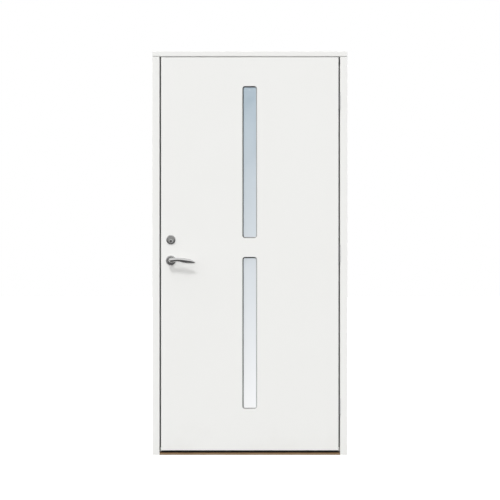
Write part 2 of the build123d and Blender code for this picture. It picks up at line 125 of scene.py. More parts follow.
# Stage
SENSOR = 36  # millimetres
VIEW_END = 200
QUARTER_TURN = 1.5707963
SKY_SIDE = (-0.72, 0.0, 0.69)  # towards the fuller light, above and to the left
FAR = 40  # half the width of the floor, and how far off the cloths stand
CLOTH_LIFT = 0.001
CLOTH_TOP = 5.8
FLOOR_BOUNCE = 0.1  # how pale the floor is to the light that it throws back
FLOOR_SEEN = 0.35  # how much paler it is seen
FLOOR_GLOW = 0.66  # what it sends out where it is seen


def middle(node):
    """Centre of a node's box."""
    low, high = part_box(node)
    return (low + high) / 2


def hinge_rows(node):
    """Heights of the three hinges."""
    low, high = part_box(node)
    return low.z + HINGE_HALF, (low.z + high.z) / 2, high.z - HINGE_HALF


def joint_place(body, joint_name):
    """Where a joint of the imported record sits."""
    for joint in frame["joints"]:
        if joint["name"] == joint_name and joint["child"] == body:
            return Vector(joint["pos_m"])
    raise RuntimeError(f"the record has no joint {joint_name}")


def each_face(kind):
    """Names of the outer and the inner node of a kind."""
    return [f"{face}_{kind}" for face in FACES]


def each_window(kind):
    """Names of the nodes of a kind, outer and inner, in both windows."""
    return [f"{window}_{name}" for window in WINDOWS for name in each_face(kind)]


def shade(colour, share):
    """A colour made darker or paler."""
    return [min(1.0, share * channel) for channel in colour]


# Settings


class DoorColours(bpy.types.PropertyGroup):
    """Colours of the finishes."""

    paint: bpy.props.FloatVectorProperty(
        name="Paint", description="White paint of leaf and frame",
        subtype="COLOR", size=3, min=0, max=1, default=(0.855, 0.855, 0.838))
    paint_soil: bpy.props.FloatVectorProperty(
        name="Paint soil", description="Tint that handling and weather leave on the paint",
        subtype="COLOR", size=3, min=0, max=1, default=(0.80, 0.795, 0.765))
    oak_light: bpy.props.FloatVectorProperty(
        name="Oak light", description="Pale wood of the threshold",
        subtype="COLOR", size=3, min=0, max=1, default=(0.30, 0.185, 0.088))
    oak_dark: bpy.props.FloatVectorProperty(
        name="Oak dark", description="Grain of the threshold",
        subtype="COLOR", size=3, min=0, max=1, default=(0.12, 0.06, 0.02))
    # Ends of the painted sky reflection on the glass: darker at the top, paler at the foot
    glass_top_painted_sky: bpy.props.FloatVectorProperty(
        name="Glass top", description="Tint at the top of the upper window",
        subtype="COLOR", size=3, min=0, max=1, default=(0.35, 0.448, 0.525))
    glass_bottom_painted_sky: bpy.props.FloatVectorProperty(
        name="Glass bottom", description="Tint at the bottom of the lower window",
        subtype="COLOR", size=3, min=0, max=1, default=(0.985, 0.99, 1.0))
    # Ends of the painted shade and light on the glazing rubber, which follow the glass's painted sky
    # reflection
    gasket_top_painted_shade: bpy.props.FloatVectorProperty(
        name="Glazing rubber top", description="Grey rubber at the top of the upper window",
        subtype="COLOR", size=3, min=0, max=1, default=(0.09, 0.096, 0.102))
    gasket_bottom_painted_light: bpy.props.FloatVectorProperty(
        name="Glazing rubber bottom", description="Paler rubber at the bottom of the lower window",
        subtype="COLOR", size=3, min=0, max=1, default=(0.17, 0.176, 0.176))
    seal: bpy.props.FloatVectorProperty(
        name="Seal rubber", description="Black rubber of the seals",
        subtype="COLOR", size=3, min=0, max=1, default=(0.012, 0.012, 0.0125))
    zinc: bpy.props.FloatVectorProperty(
        name="Zinc", description="Plating on lock parts and screws",
        subtype="COLOR", size=3, min=0, max=1, default=(0.40, 0.40, 0.395))
    satin: bpy.props.FloatVectorProperty(
        name="Satin steel", description="Brushed steel of the lock covers",
        subtype="COLOR", size=3, min=0, max=1, default=(0.64, 0.64, 0.63))
    chrome: bpy.props.FloatVectorProperty(
        name="Chrome", description="Polished levers and roses",
        subtype="COLOR", size=3, min=0, max=1, default=(0.66, 0.66, 0.655))
    hinge_coat: bpy.props.FloatVectorProperty(
        name="Hinge coat", description="Grey coating of the hinges",
        subtype="COLOR", size=3, min=0, max=1, default=(0.17, 0.17, 0.175))


class DoorSizes(bpy.types.PropertyGroup):
    """Sizes of the small pieces."""

    screw_radius: bpy.props.FloatProperty(
        name="Screw radius", description="Radius of a countersunk screw head",
        subtype="DISTANCE", unit="LENGTH", default=SCREW_RADIUS, min=0.001, max=0.006)
    screw_rise: bpy.props.FloatProperty(
        name="Screw rise", description="How far a screw head stands proud of its plate",
        subtype="DISTANCE", unit="LENGTH", default=SCREW_RISE, min=0.0001, max=0.002)
    strip_thick: bpy.props.FloatProperty(
        name="Strip thickness", description="Thickness of the weather strip under the head",
        subtype="DISTANCE", unit="LENGTH", default=0.003, min=0.001, max=0.004)
    strip_depth: bpy.props.FloatProperty(
        name="Strip depth", description="Depth of the weather strip from front to back",
        subtype="DISTANCE", unit="LENGTH", default=0.012, min=0.004, max=0.04)
    sweep_drop: bpy.props.FloatProperty(
        name="Sweep drop", description="How far the rubber sweep hangs below the leaf",
        subtype="DISTANCE", unit="LENGTH", default=0.0088, min=0.002, max=0.009)
    lip_reach: bpy.props.FloatProperty(
        name="Lip reach", description="How far the rolled lip of the strike stands into the gap",
        subtype="DISTANCE", unit="LENGTH", default=0.0034, min=0.001, max=0.004)


class DoorStage(bpy.types.PropertyGroup):
    """Camera and light."""

    view_width: bpy.props.FloatProperty(
        name="View width", description="Width of the picture at the front of the door",
        subtype="DISTANCE", unit="LENGTH", default=2.5845, min=0.5, max=10)
    view_from: bpy.props.FloatProperty(
        name="View from", description="Distance of the camera from the front of the door",
        subtype="DISTANCE", unit="LENGTH", default=12, min=3, max=50)
    view_centre: bpy.props.FloatVectorProperty(
        name="View centre", description="Middle of the picture, across and up",
        subtype="TRANSLATION", unit="LENGTH", size=2, default=(0.0010, 1.0596))
    sky: bpy.props.FloatProperty(
        name="Sky", description="Level of the soft light from all round",
        default=0.478, min=0, max=2)
    sky_lean: bpy.props.FloatProperty(
        name="Sky lean", description="How much brighter the soft light is above and to the left",
        default=1.0, min=0, max=1)
    key: bpy.props.FloatProperty(
        name="Key", description="Strength of the lamp above and left of the camera",
        default=1.0, min=0, max=5)
    front_fill: bpy.props.FloatProperty(
        name="Front fill", description="Strength of the nearly level lamp before the door",
        default=0.92, min=0, max=5)
    back_fill: bpy.props.FloatProperty(
        name="Back fill", description="Strength of the lamp behind the door",
        default=1.3, min=0, max=5)
    side_fill: bpy.props.FloatProperty(
        name="Side fill", description="Strength of the lamp on the hinge side, a little behind the door",
        default=1.3, min=0, max=5)
    key_angle: bpy.props.FloatProperty(
        name="Key softness", description="Width of the key lamp as seen from the door",
        subtype="ANGLE", unit="ROTATION", default=0.15, min=0, max=1)


class DoorKit(bpy.types.PropertyGroup):
    """All settings of the door."""

    colours: bpy.props.PointerProperty(
        type=DoorColours, name="Colours", description="Colours of the finishes")
    sizes: bpy.props.PointerProperty(
        type=DoorSizes, name="Sizes", description="Sizes of the small pieces")
    stage: bpy.props.PointerProperty(
        type=DoorStage, name="Stage", description="Camera and light")


# Nodes


def add(tree, kind, values=None, **settings):
    """A node with its settings and the values of its unlinked sockets."""
    node = tree.nodes.new(kind)
    for key, value in settings.items():
        setattr(node, key, value)
    for key, value in (values or {}).items():
        node.inputs[key].default_value = value
    return node


def join(tree, value, socket):
    """Links a value to a socket, or sets the socket to it where it is plain."""
    if isinstance(value, bpy.types.NodeSocket):
        tree.links.new(value, socket)
    else:
        socket.default_value = value


def math(tree, operation, first, second=0.0, clamp=False):
    """Output of a Math node whose inputs are sockets or numbers."""
    node = add(tree, "ShaderNodeMath", operation=operation, use_clamp=clamp)
    join(tree, first, node.inputs[0])
    join(tree, second, node.inputs[1])
    return node.outputs[0]


def vector_math(tree, operation, first, second=(0.0, 0.0, 0.0)):
    """Output of a Vector Math node whose inputs are sockets or three numbers."""
    node = add(tree, "ShaderNodeVectorMath", operation=operation)
    join(tree, first, node.inputs[0])
    join(tree, second, node.inputs[1])
    return node.outputs["Value" if operation in ("DOT_PRODUCT", "LENGTH") else "Vector"]


def combined(tree, x, y, z):
    """A vector made of three sockets or numbers."""
    node = add(tree, "ShaderNodeCombineXYZ")
    for value, socket in zip((x, y, z), node.inputs):
        join(tree, value, socket)
    return node.outputs[0]


def coordinate(tree, vector, letter):
    """One coordinate of a vector."""
    node = add(tree, "ShaderNodeSeparateXYZ")
    tree.links.new(vector, node.inputs[0])
    return node.outputs[letter]


def span(tree, value, low, high, to_low=0.0, to_high=1.0):
    """A value smoothly mapped from one range to another."""
    node = add(tree, "ShaderNodeMapRange", {1: low, 2: high, 3: to_low, 4: to_high},
               interpolation_type="SMOOTHSTEP")
    tree.links.new(value, node.inputs[0])
    return node.outputs[0]


def noise(tree, vector, scale, detail, rough):
    """Value of a noise texture on a vector."""
    node = add(tree, "ShaderNodeTexNoise", {"Detail": detail, "Roughness": rough})
    tree.links.new(vector, node.inputs["Vector"])
    join(tree, scale, node.inputs["Scale"])
    return node.outputs[0]


def seen_rays(tree):
    """1 for rays from the camera and those that metal and glass send on, 0 for the light on the door."""
    path = add(tree, "ShaderNodeLightPath").outputs
    seen = math(tree, "MAXIMUM", path["Is Camera Ray"], path["Is Glossy Ray"])
    return math(tree, "MAXIMUM", seen, path["Is Transmission Ray"])


# Shader node groups


def new_group(name, inputs, outputs):
    """A shader group with its ends, or the one already made and no ends."""
    if name in bpy.data.node_groups:
        return bpy.data.node_groups[name], None, None
    tree = bpy.data.node_groups.new(name, "ShaderNodeTree")
    for label, default in inputs:
        kind = "NodeSocketFloat" if isinstance(default, float) else "NodeSocketVector"
        socket = tree.interface.new_socket(label, in_out="INPUT", socket_type=kind)
        if kind == "NodeSocketFloat":
            socket.default_value = default
    for label in outputs:
        tree.interface.new_socket(label, in_out="OUTPUT", socket_type="NodeSocketFloat")
    return tree, tree.nodes.new("NodeGroupInput").outputs, tree.nodes.new("NodeGroupOutput").inputs


def give(tree, result, **values):
    """Links values to the outputs of a group."""
    for label, value in values.items():
        tree.links.new(value, result[label])


def paint_film_group():
    """Film of sprayed paint: its fine orange peel, the ghost of timber under it, its clouds."""
    inputs = [("Point", None), ("Grain Point", None), ("Grain", 0.3)]
    tree, source, result = new_group("paint_film", inputs, ["Height", "Cloud", "Gloss"])
    if source is None:
        return tree
    point = source["Point"]
    peel = noise(tree, point, scale=900.0, detail=2.0, rough=0.55)
    waves = noise(tree, point, scale=140.0, detail=2.0, rough=0.5)
    fibre = noise(tree, source["Grain Point"], scale=1.0, detail=4.0, rough=0.6)
    film = math(tree, "ADD", math(tree, "MULTIPLY", peel, 0.5), math(tree, "MULTIPLY", waves, 0.5))
    height = math(tree, "ADD", film, math(tree, "MULTIPLY", fibre, source["Grain"]))
    cloud = span(tree, noise(tree, point, scale=2.6, detail=3.0, rough=0.55), 0.35, 0.75)
    gloss = noise(tree, point, scale=9.0, detail=4.0, rough=0.6)
    give(tree, result, Height=height, Cloud=cloud, Gloss=gloss)
    return tree


def edge_group():
    """Where an edge runs, found by how far a rounded normal leans from the true one, and broken up."""
    inputs = [("Point", None), ("Width", 0.002), ("Break", 60.0)]
    tree, source, result = new_group("worn_edge", inputs, ["Mask"])
    if source is None:
        return tree
    rounded = add(tree, "ShaderNodeBevel", samples=4)
    tree.links.new(source["Width"], rounded.inputs["Radius"])
    true = add(tree, "ShaderNodeNewGeometry").outputs["Normal"]
    lean = span(tree, vector_math(tree, "DOT_PRODUCT", rounded.outputs[0], true), 0.99, 0.80)
    patches = noise(tree, source["Point"], scale=source["Break"], detail=4.0, rough=0.6)
    give(tree, result, Mask=math(tree, "MULTIPLY", lean, span(tree, patches, 0.42, 0.66)))
    return tree


def smudge_group():
    """Handling marks and dust: a soft cloud, and fine specks."""
    tree, source, result = new_group("handling", [("Point", None), ("Scale", 30.0)], ["Smudge", "Speck"])
    if source is None:
        return tree
    point, scale = source["Point"], source["Scale"]
    soft = noise(tree, point, scale, detail=3.0, rough=0.55)
    fine = noise(tree, point, math(tree, "MULTIPLY", scale, 14.0), detail=2.0, rough=0.5)
    give(tree, result, Smudge=span(tree, soft, 0.40, 0.72), Speck=span(tree, fine, 0.58, 0.78))
    return tree


def brushing_group():
    """Fine scratches that follow one direction of the given point."""
    tree, source, result = new_group("brushing", [("Along", None)], ["Scratch"])
    if source is None:
        return tree
    give(tree, result, Scratch=noise(tree, source["Along"], scale=1.0, detail=3.0, rough=0.65))
    return tree


def window_fade_group():
    """How far down the windows a point is, from 0 at their top to 1 at their foot."""
    tree, source, result = new_group("window_fade", [("Point", None)], ["Fade"])
    if source is None:
        return tree
    low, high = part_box("lower_outer_pane")[0].z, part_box("upper_outer_pane")[1].z
    ramp = add(tree, "ShaderNodeMapRange", {1: high, 2: low})
    tree.links.new(coordinate(tree, source["Point"], "Z"), ramp.inputs[0])
    give(tree, result, Fade=ramp.outputs[0])
    return tree


def oak_group():
    """Oak laid along X: growth rings, pores, and their relief."""
    tree, source, result = new_group("oak_grain", [("Point", None)], ["Ring", "Pore", "Height"])
    if source is None:
        return tree
    point = source["Point"]
    slow = vector_math(tree, "MULTIPLY", point, (2.2, 9.0, 9.0))
    bend = noise(tree, slow, scale=1.0, detail=2.0, rough=0.5)
    drop = combined(tree, 0.0, 0.0, math(tree, "MULTIPLY", bend, 0.06))
    plank = vector_math(tree, "MULTIPLY", point, (0.06, 1.0, 1.6))
    rings = add(tree, "ShaderNodeTexWave",
                {"Scale": 30.0, "Distortion": 2.4, "Detail": 3.0, "Detail Scale": 1.6},
                wave_type="BANDS", bands_direction="Z", wave_profile="SIN")
    tree.links.new(vector_math(tree, "ADD", plank, drop), rings.inputs["Vector"])
    ring = rings.outputs["Fac"]
    fine = vector_math(tree, "MULTIPLY", point, (14.0, 700.0, 700.0))
    pore = span(tree, noise(tree, fine, scale=1.0, detail=3.0, rough=0.6), 0.54, 0.70)
    height = math(tree, "SUBTRACT", math(tree, "MULTIPLY", ring, 0.4), pore)
    give(tree, result, Ring=ring, Pore=pore, Height=height)
    return tree


# Materials


def plain_material(name, values):
    """A material and its shader, with the values of the shader's plain sockets."""
    material = bpy.data.materials.new(name)
    material.use_nodes = True
    shader = material.node_tree.nodes["Principled BSDF"]
    for socket, value in values.items():
        shader.inputs[socket].default_value = value
    return material, shader


class Finish:
    """A material being made: its tree, its shader and the point it is read at."""

    def __init__(self, name, values):
        self.material, self.shader = plain_material(name, values)
        self.tree = self.material.node_tree
        self.point = add(self.tree, "ShaderNodeTexCoord").outputs["Object"]

    def group(self, tree, values=None, **links):
        """Places a group and returns its outputs."""
        node = add(self.tree, "ShaderNodeGroup", values, node_tree=tree)
        for key, socket in links.items():
            self.tree.links.new(socket, node.inputs[key.replace("_", " ")])
        return node.outputs

    def mapped(self, place=(0, 0, 0), scale=(1, 1, 1)):
        """The point measured from a place and stretched."""
        offset = [-p * s for p, s in zip(place, scale)]
        node = add(self.tree, "ShaderNodeMapping", {"Location": offset, "Scale": scale})
        self.tree.links.new(self.point, node.inputs["Vector"])
        return node.outputs[0]

    def axis(self, letter):
        """One coordinate of the point."""
        return coordinate(self.tree, self.point, letter)

    def span(self, value, low, high, to_low=0.0, to_high=1.0):
        """A value smoothly mapped from one range to another."""
        return span(self.tree, value, low, high, to_low, to_high)

    def times(self, first, second):
        """Product of two values."""
        return math(self.tree, "MULTIPLY", first, second)

    def plus(self, first, second, clamp=False):
        """Sum of two values."""
        return math(self.tree, "ADD", first, second, clamp)

    def balance(self, first, second, share):
        """Sum of two values, the first by its share and the second by the rest."""
        return self.plus(self.times(first, share), self.times(second, 1.0 - share))

    def mix(self, share, first, second):
        """Colour between two colours or sockets."""
        node = add(self.tree, "ShaderNodeMix", data_type="RGBA")
        self.tree.links.new(share, node.inputs[0])
        for socket, value in zip(node.inputs[6:8], (first, second)):
            plain = not isinstance(value, bpy.types.NodeSocket)
            join(self.tree, (*value, 1) if plain else value, socket)
        return node.outputs[2]

    def feed(self, socket, value):
        """Links a value to the shader."""
        self.tree.links.new(value, self.shader.inputs[socket])

    def rough(self, value, low, high):
        """Roughness between two limits."""
        self.feed("Roughness", self.span(value, 0.0, 1.0, low, high))

    def bump(self, height, distance):
        """Relief of the surface."""
        node = add(self.tree, "ShaderNodeBump", {"Distance": distance})
        self.tree.links.new(height, node.inputs["Height"])
        self.feed("Normal", node.outputs[0])


def painted(name, colours, grain_scale, grain):
    """White satin paint: faint grain under it, soil along its edges and splashes at the foot."""
    finish = Finish(name, {"IOR": 1.48, "Specular IOR Level": 0.35})
    film = finish.group(paint_film_group(), {"Grain": grain}, Point=finish.point,
                        Grain_Point=finish.mapped(scale=grain_scale))
    edge = finish.group(edge_group(), {"Width": 0.0016, "Break": 45.0}, Point=finish.point)["Mask"]
    marks = finish.group(smudge_group(), {"Scale": 7.0}, Point=finish.point)
    splash = finish.times(finish.span(finish.axis("Z"), *SPLASH_Z), marks["Smudge"])
    soil = finish.plus(finish.times(film["Cloud"], 0.10), finish.times(edge, 0.30))
    soil = finish.plus(soil, finish.times(splash, 0.35), clamp=True)
    finish.feed("Base Color", finish.mix(soil, colours.paint, colours.paint_soil))
    finish.rough(film["Gloss"], 0.34, 0.52)
    finish.bump(film["Height"], distance=0.00006)
    return finish.material


def oak(name, colours):
    """Oiled oak with painted shade along its top edge under the leaf, worn pale and dusty towards the foot
    of its front.
    """
    finish = Finish(name, {"IOR": 1.5, "Specular IOR Level": 0.35})
    grain = finish.group(oak_group(), Point=finish.point)
    dust = finish.group(smudge_group(), {"Scale": 22.0}, Point=finish.point)
    height = finish.axis("Z")
    body = finish.mix(grain["Ring"], colours.oak_light, shade(colours.oak_light, 0.72))
    body = finish.mix(grain["Pore"], body, colours.oak_dark)
    # Painted shade: the oak darkens along its top edge, under the leaf
    painted_shade_under_leaf = finish.times(finish.span(height, *OAK_SHADE_Z), 0.75)
    body = finish.mix(painted_shade_under_leaf, body, shade(colours.oak_dark, 0.6))
    patches = finish.span(dust["Smudge"], 0.0, 1.0, 0.55, 0.85)
    worn = finish.times(finish.span(height, *OAK_WORN_Z), patches)
    finish.feed("Base Color", finish.mix(worn, body, WORN_OAK))
    finish.rough(dust["Smudge"], 0.42, 0.62)
    finish.bump(grain["Height"], distance=0.00025)
    return finish.material


def rubber(name, colour, run, painted_foot_colour=None):
    """Extruded rubber with fine drawn lines, dust, and a paler face where it looks up: settled dust and
    painted light.

    Round a window its colour follows the glass's painted sky reflection, darker at the top and paler at the
    foot;
    it takes painted shade where it faces down, and painted light on the right.
    """
    finish = Finish(name, {"IOR": 1.5, "Specular IOR Level": 0.2})
    lines = finish.group(brushing_group(), Along=finish.mapped(scale=run))
    dust = finish.group(smudge_group(), {"Scale": 40.0}, Point=finish.point)
    dust_and_painted_light = finish.times(finish.plus(dust["Smudge"], dust["Speck"], clamp=True), 0.04)
    upward = coordinate(finish.tree, add(finish.tree, "ShaderNodeNewGeometry").outputs["Normal"], "Z")
    # Settled dust and painted light: faces that look up are paler
    patches = finish.span(dust["Smudge"], 0.0, 1.0, 0.35, 0.65)
    settled_dust_and_painted_light = finish.times(finish.span(upward, 0.2, 0.75), patches)
    dust_and_painted_light = finish.plus(dust_and_painted_light, settled_dust_and_painted_light, clamp=True)
    if painted_foot_colour is not None:
        # Painted shade and light: the rubber follows the glass's painted sky reflection, darker at the top,
        # paler at the foot
        painted_sky_fade = finish.group(window_fade_group(), Point=finish.point)["Fade"]
        colour = finish.mix(painted_sky_fade, colour, painted_foot_colour)
        # Painted shade: faces that look down are darkened
        painted_shade_facing_down = finish.times(finish.span(upward, -0.2, -0.75), 0.5)
        colour = finish.mix(painted_shade_facing_down, colour, PAINTED_SHADE_BELOW)
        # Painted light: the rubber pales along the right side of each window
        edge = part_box("upper_outer_gasket")[1].x - GLASS_HELD
        painted_light_on_right = finish.span(finish.axis("X"), *(edge - inset for inset in PAINTED_LIGHT_INSET))
        colour = finish.mix(finish.times(painted_light_on_right, 0.6), colour, PAINTED_LIGHT_RIGHT)
    finish.feed("Base Color", finish.mix(dust_and_painted_light, colour, DUST_AND_PAINTED_LIGHT))
    finish.rough(dust["Smudge"], 0.45, 0.68)
    finish.bump(lines["Scratch"], distance=0.00008)
    return finish.material


def satin_glass(name, colours):
    """Satin glass with a painted sky reflection: dark blue-grey at the top of the upper window, paling to
    white at the foot of the lower one.
    """
    finish = Finish(name, {"IOR": 1.5, "Specular IOR Level": 0.5, "Transmission Weight": 0.05})
    painted_sky_fade = finish.group(window_fade_group(), Point=finish.point)["Fade"]
    marks = finish.group(smudge_group(), {"Scale": 16.0}, Point=finish.point)
    # Painted sky reflection: the glass runs from darker at the top of the upper window to paler at the foot
    # of the lower one
    painted_sky_tint = finish.mix(painted_sky_fade, colours.glass_top_painted_sky, colours.glass_bottom_painted_sky)
    etched = noise(finish.tree, finish.point, scale=1600.0, detail=2.0, rough=0.5)
    haze = finish.times(finish.plus(marks["Smudge"], etched, clamp=True), 0.02)
    finish.feed("Base Color", finish.mix(haze, painted_sky_tint, GLASS_HAZE))
    finish.rough(marks["Smudge"], 0.16, 0.26)
    finish.bump(etched, distance=0.00002)
    return finish.material


def drawn_metal(name, colour, rough, run, wear=None, metallic=1.0):
    """Metal with scratches along one direction, smudges, and a worn edge where wear gives its colour."""
    finish = Finish(name, {"Metallic": metallic})
    brush = finish.group(brushing_group(), Along=finish.mapped(scale=run))
    marks = finish.group(smudge_group(), {"Scale": 55.0}, Point=finish.point)
    tone = finish.mix(brush["Scratch"], shade(colour, 0.86), shade(colour, 1.12))
    if wear:
        edge = finish.group(edge_group(), {"Width": 0.0008, "Break": 220.0}, Point=finish.point)["Mask"]
        tone = finish.mix(edge, tone, wear)
    finish.feed("Base Color", tone)
    finish.rough(finish.balance(brush["Scratch"], marks["Smudge"], 0.6), rough - 0.08, rough + 0.10)
    finish.bump(brush["Scratch"], distance=0.00003)
    return finish.material


def turned_metal(name, colour, centre, rough, depth, rim=None):
    """Metal turned on a lathe: fine rings round a centre, seen along Y, polished beyond the radius rim."""
    finish = Finish(name, {"Metallic": 1.0, "Anisotropic": 0.35})
    across = vector_math(finish.tree, "MULTIPLY", finish.mapped(place=centre), (1.0, 0.0, 1.0))
    radius = vector_math(finish.tree, "LENGTH", across)
    rings = combined(finish.tree, finish.times(radius, 2600.0), finish.times(finish.axis("Y"), 900.0), 0.0)
    brush = finish.group(brushing_group(), Along=rings)
    marks = finish.group(smudge_group(), {"Scale": 60.0}, Point=finish.point)
    tone = finish.mix(brush["Scratch"], shade(colour, 0.84), shade(colour, 1.14))
    worn = finish.balance(brush["Scratch"], marks["Smudge"], 0.6)
    dull = finish.span(worn, 0.0, 1.0, rough - 0.06, rough + 0.10)
    if rim:
        edge = finish.span(radius, rim - 0.001, rim)
        tone = finish.mix(edge, tone, colour)
        dull = finish.times(dull, finish.span(edge, 0.0, 1.0, 1.0, 0.45))
    finish.feed("Base Color", tone)
    finish.feed("Roughness", dull)
    finish.bump(brush["Scratch"], distance=depth)
    return finish.material


def polished_metal(name, colour):
    """Polished chrome with faint handling marks."""
    finish = Finish(name, {"Metallic": 1.0})
    marks = finish.group(smudge_group(), {"Scale": 42.0}, Point=finish.point)
    touched = finish.times(marks["Smudge"], 0.25)
    finish.feed("Base Color", finish.mix(touched, colour, shade(colour, 0.88)))
    finish.rough(finish.balance(marks["Smudge"], marks["Speck"], 0.7), 0.07, 0.15)
    finish.bump(noise(finish.tree, finish.point, scale=60.0, detail=1.0, rough=0.4), distance=0.00004)
    return finish.material


def light_filling(name):
    """Rigid foam inside the leaf."""
    finish = Finish(name, {"Specular IOR Level": 0.2})
    cells = noise(finish.tree, finish.point, scale=700.0, detail=2.0, rough=0.5)
    finish.feed("Base Color", finish.mix(cells, FOAM_DARK, FOAM_LIGHT))
    finish.rough(cells, 0.75, 0.9)
    finish.bump(cells, distance=0.0003)
    return finish.material


def dress(nodes, material):
    """Gives CAD nodes a material."""
    for node in nodes:
        mesh = frame["nodes"][node].data
        mesh.materials.clear()
        mesh.materials.append(material)


# Pieces


def kept_piece(name, mesh, body):
    """Links a finished mesh at the origin, on a body."""
    piece = bpy.data.objects.new(name, mesh)
    bpy.context.scene.collection.objects.link(piece)
    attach(piece, body)


def drawn_out(name, outline, axis, start, end):
    """Mesh of a closed outline drawn out along X or Z, shaded smooth but for its sharp edges."""
    shape = bmesh.new()
    rings = []
    for along in (start, end):
        corners = [(along, a, b) if axis == "X" else (a, b, along) for a, b in outline]
        rings.append([shape.verts.new(corner) for corner in corners])
        shape.faces.new(rings[-1])
    near, far = rings
    for i in range(len(outline)):
        shape.faces.new((near[i - 1], near[i], far[i], far[i - 1]))
    bmesh.ops.recalc_face_normals(shape, faces=shape.faces)
    mesh = bpy.data.meshes.new(name)
    shape.to_mesh(mesh)
    shape.free()
    mesh.shade_smooth()
    mesh.set_sharp_from_angle(angle=0.9)
    return mesh


class DOOR_OT_paintwork(bpy.types.Operator):
    """Paints the frame and the leaf, and finishes the leaf's filling."""

    bl_idname = "door.paintwork"
    bl_label = "Paint Frame and Leaf"

    def execute(self, context):
        colours = context.scene.door_kit.colours
        dress(UPRIGHT_TIMBERS, painted("paint_on_uprights", colours, UPRIGHT_GRAIN, grain=0.55))
        dress(LEVEL_TIMBERS, painted("paint_on_level_timber", colours, LEVEL_GRAIN, grain=0.55))
        dress(FACINGS, painted("paint_on_board", colours, BOARD_GRAIN, grain=0.12))
        dress(("insulation_core",), light_filling("foam_filling"))
        return {"FINISHED"}


class DOOR_OT_threshold(bpy.types.Operator):
    """Gives the threshold its oiled oak."""

    bl_idname = "door.threshold"
    bl_label = "Finish Threshold"

    def execute(self, context):
        dress(("threshold",), oak("oiled_oak", context.scene.door_kit.colours))
        return {"FINISHED"}


class DOOR_OT_glazing(bpy.types.Operator):
    """Finishes the panes, their rubber and their spacers."""

    bl_idname = "door.glazing"
    bl_label = "Finish Windows"

    def execute(self, context):
        colours = context.scene.door_kit.colours
        dress(each_window("pane"), satin_glass("satin_glass", colours))
        dress(each_window("gasket"),
              rubber("glazing_rubber", colours.gasket_top_painted_shade, UPRIGHT_LINES, colours.gasket_bottom_painted_light))
        dress([f"{window}_spacer" for window in WINDOWS],
              drawn_metal("spacer_metal", SPACER_METAL, rough=0.35, run=UPRIGHT_LINES))
        return {"FINISHED"}


class DOOR_OT_seals(bpy.types.Operator):
    """Finishes the seals, and adds the pale strip under the head and the black sweep under the leaf."""

    bl_idname = "door.seals"
    bl_label = "Finish Seals"

    def execute(self, context):
        kit = context.scene.door_kit
        dress(UPRIGHT_SEALS, rubber("upright_seal_rubber", kit.colours.seal, UPRIGHT_LINES))
        level_rubber = rubber("level_seal_rubber", kit.colours.seal, LEVEL_LINES)
        dress(LEVEL_SEALS, level_rubber)
        self.head_strip(kit)
        self.leaf_sweep(kit, level_rubber)
        return {"FINISHED"}

    def head_strip(self, kit):
        """A soft strip with a rounded nose, fixed under the head."""
        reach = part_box("hinge_jamb_seal")[1].x
        front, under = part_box("head")[0].y + STRIP_BACK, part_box("lock_jamb")[1].z
        thick, depth = kit.sizes.strip_thick, kit.sizes.strip_depth
        nose = ((0, 0), (0, -0.6), (0.18, -0.92), (0.4, -1), (0.75, -0.85), (0.92, -0.5), (1, -0.3), (1, 0))
        outline = [(front + y * depth, under + z * thick) for y, z in nose]
        mesh = drawn_out("head_weather_strip", outline, "X", -reach, reach)
        mesh.materials.append(rubber("strip_rubber", STRIP_RUBBER, LEVEL_LINES))
        kept_piece("head_weather_strip", mesh, "frame")

    def leaf_sweep(self, kit, finish):
        """A ribbed rubber sweep under the leaf, just clear of the threshold."""
        low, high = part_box("inner_facing")
        front, drop = low.y - SWEEP_FORWARD, kit.sizes.sweep_drop
        ribs = ((0, 0), (0, -0.70), (0.10, -0.93), (0.22, -1), (0.34, -0.93), (0.42, -0.72), (0.50, -0.66),
                (0.58, -0.72), (0.66, -0.93), (0.78, -1), (0.90, -0.93), (1, -0.70), (1, 0))
        outline = [(front + y * SWEEP_DEPTH, low.z + z * drop) for y, z in ribs]
        mesh = drawn_out("leaf_sweep", outline, "X", low.x + SWEEP_INSET, high.x - SWEEP_INSET)
        mesh.materials.append(finish)
        kept_piece("leaf_sweep", mesh, "leaf")


class DOOR_OT_lock_metal(bpy.types.Operator):
    """Finishes the lock, its strike, covers and cylinders, and the hinges."""

    bl_idname = "door.lock_metal"
    bl_label = "Finish Lock and Hinges"

    def execute(self, context):
        colours = context.scene.door_kit.colours
        dress(LOCK_METAL, drawn_metal("zinc_plate", colours.zinc, rough=0.36, run=LOCK_LINES))
        dress(HINGES, drawn_metal("grey_hinge_coat", colours.hinge_coat, rough=0.45, run=HINGE_SPECKS,
                                  wear=WORN_HINGE, metallic=0.0))
        cover, plug = middle("outer_escutcheon"), middle("outer_key_plug")
        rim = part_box("outer_escutcheon")[1].x - cover.x - COVER_RIM
        bright, dim, dark = (shade(colours.satin, share) for share in (1.45, 0.85, 0.45))
        dress(each_face("escutcheon"),
              turned_metal("brushed_cover", dim, cover, rough=0.55, depth=0.00004, rim=rim))
        dress(each_face("cylinder"), turned_metal("cylinder_face", bright, plug, rough=0.38, depth=0.00002))
        dress(each_face("key_plug"), turned_metal("plug_face", dark, plug, rough=0.36, depth=0.00002))
        return {"FINISHED"}


